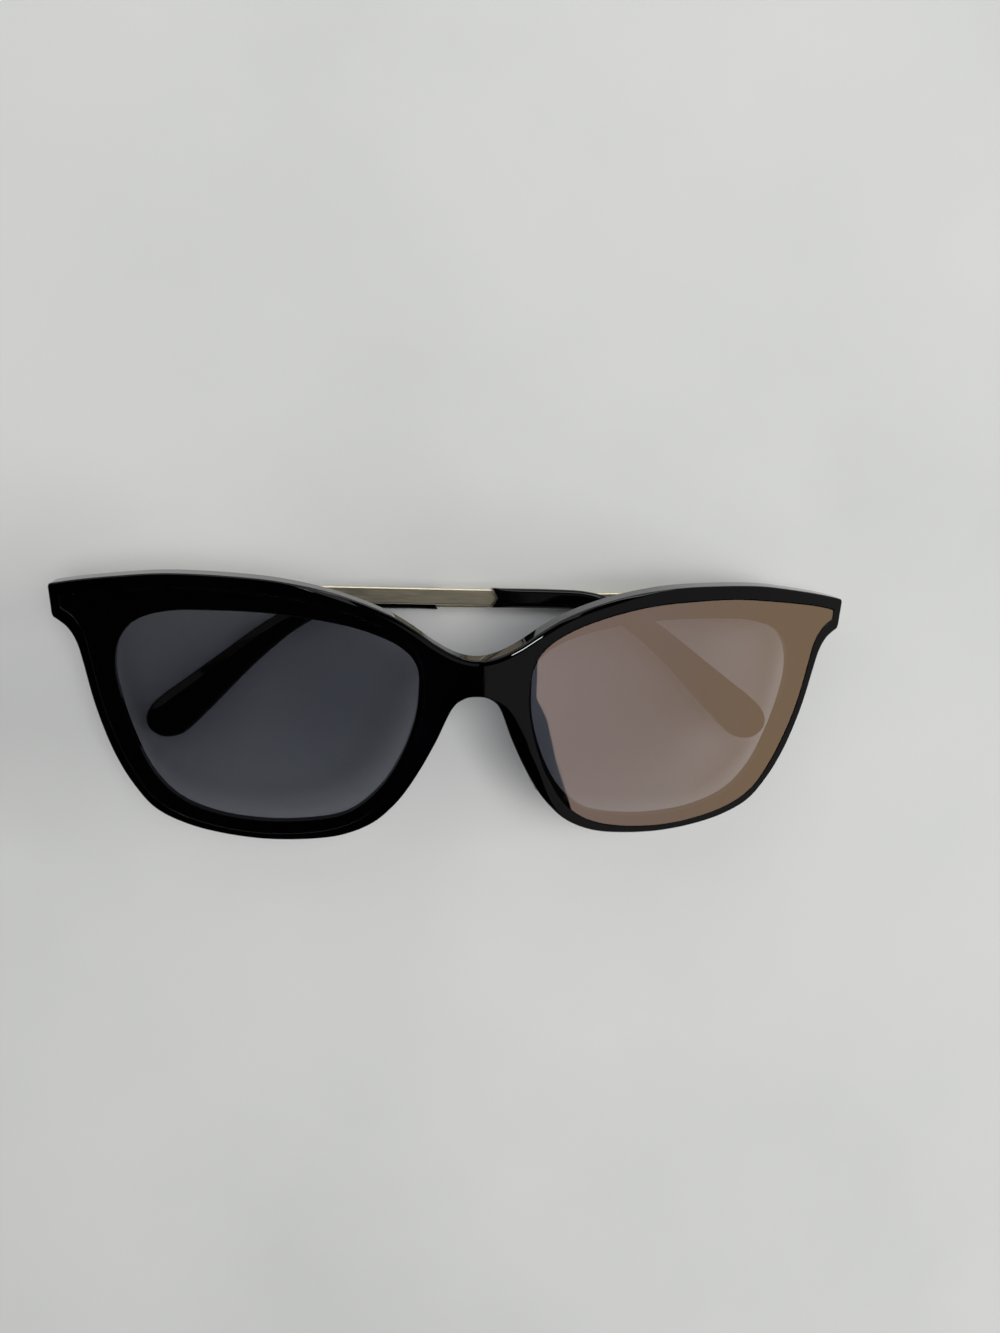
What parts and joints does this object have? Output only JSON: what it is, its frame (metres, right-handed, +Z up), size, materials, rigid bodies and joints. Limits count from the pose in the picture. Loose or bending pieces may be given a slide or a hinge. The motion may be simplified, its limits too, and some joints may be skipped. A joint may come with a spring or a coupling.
{
  "type": "sunglasses",
  "caption": "Folding sunglasses: black flush-lens front with mirrored lenses, slim pale gold metal arms and black plastic ear tips, folded and lying face up.",
  "frame": {"origin": "on the table, under the middle of the folded part's bounding box", "axes": "+X from the wearer's right-hand corner (left in a front view, the -X side, named left here) to the other corner, +Y from the lower rim to the brow edge, +Z up, out of the lens faces"},
  "size_m": [0.142, 0.0465, 0.0282],
  "materials": {
    "black_frame": "polished black",
    "black_tip": "polished black",
    "mirrored_lens": "grey polarized plastic with a rose-gold mirror coat",
    "gold_arm": "polished pale gold plating",
    "hinge_steel": "pale gold plated hinge metal",
    "washer_nylon": "natural nylon"
  },
  "bodies": {
    "front": {"front_frame": "black_frame", "lens_left": "mirrored_lens", "lens_right": "mirrored_lens", "nose_pad_left": "black_frame", "nose_pad_right": "black_frame", "front_hinge_left": "hinge_steel", "front_hinge_right": "hinge_steel", "hinge_mount_screws": "hinge_steel", "hinge_screw_left": "hinge_steel", "hinge_screw_right": "hinge_steel", "hinge_washers_left": "washer_nylon", "hinge_washers_right": "washer_nylon"},
    "temple_left": {"temple_hinge_left": "hinge_steel", "temple_arm_left": "gold_arm", "temple_tip_left": "black_tip"},
    "temple_right": {"temple_hinge_right": "hinge_steel", "temple_arm_right": "gold_arm", "temple_tip_right": "black_tip"}
  },
  "joints": [
    {"name": "left_temple_hinge", "type": "hinge", "parent": "front", "child": "temple_left", "pos_m": [-0.06669, 0.01815, 0.01378], "axis": [0, 1, 0], "range_deg": [0, 90]},
    {"name": "right_temple_hinge", "type": "hinge", "parent": "front", "child": "temple_right", "pos_m": [0.06599, 0.01815, 0.0045], "axis": [0, -1, 0], "range_deg": [0, 84.5]}
  ]
}
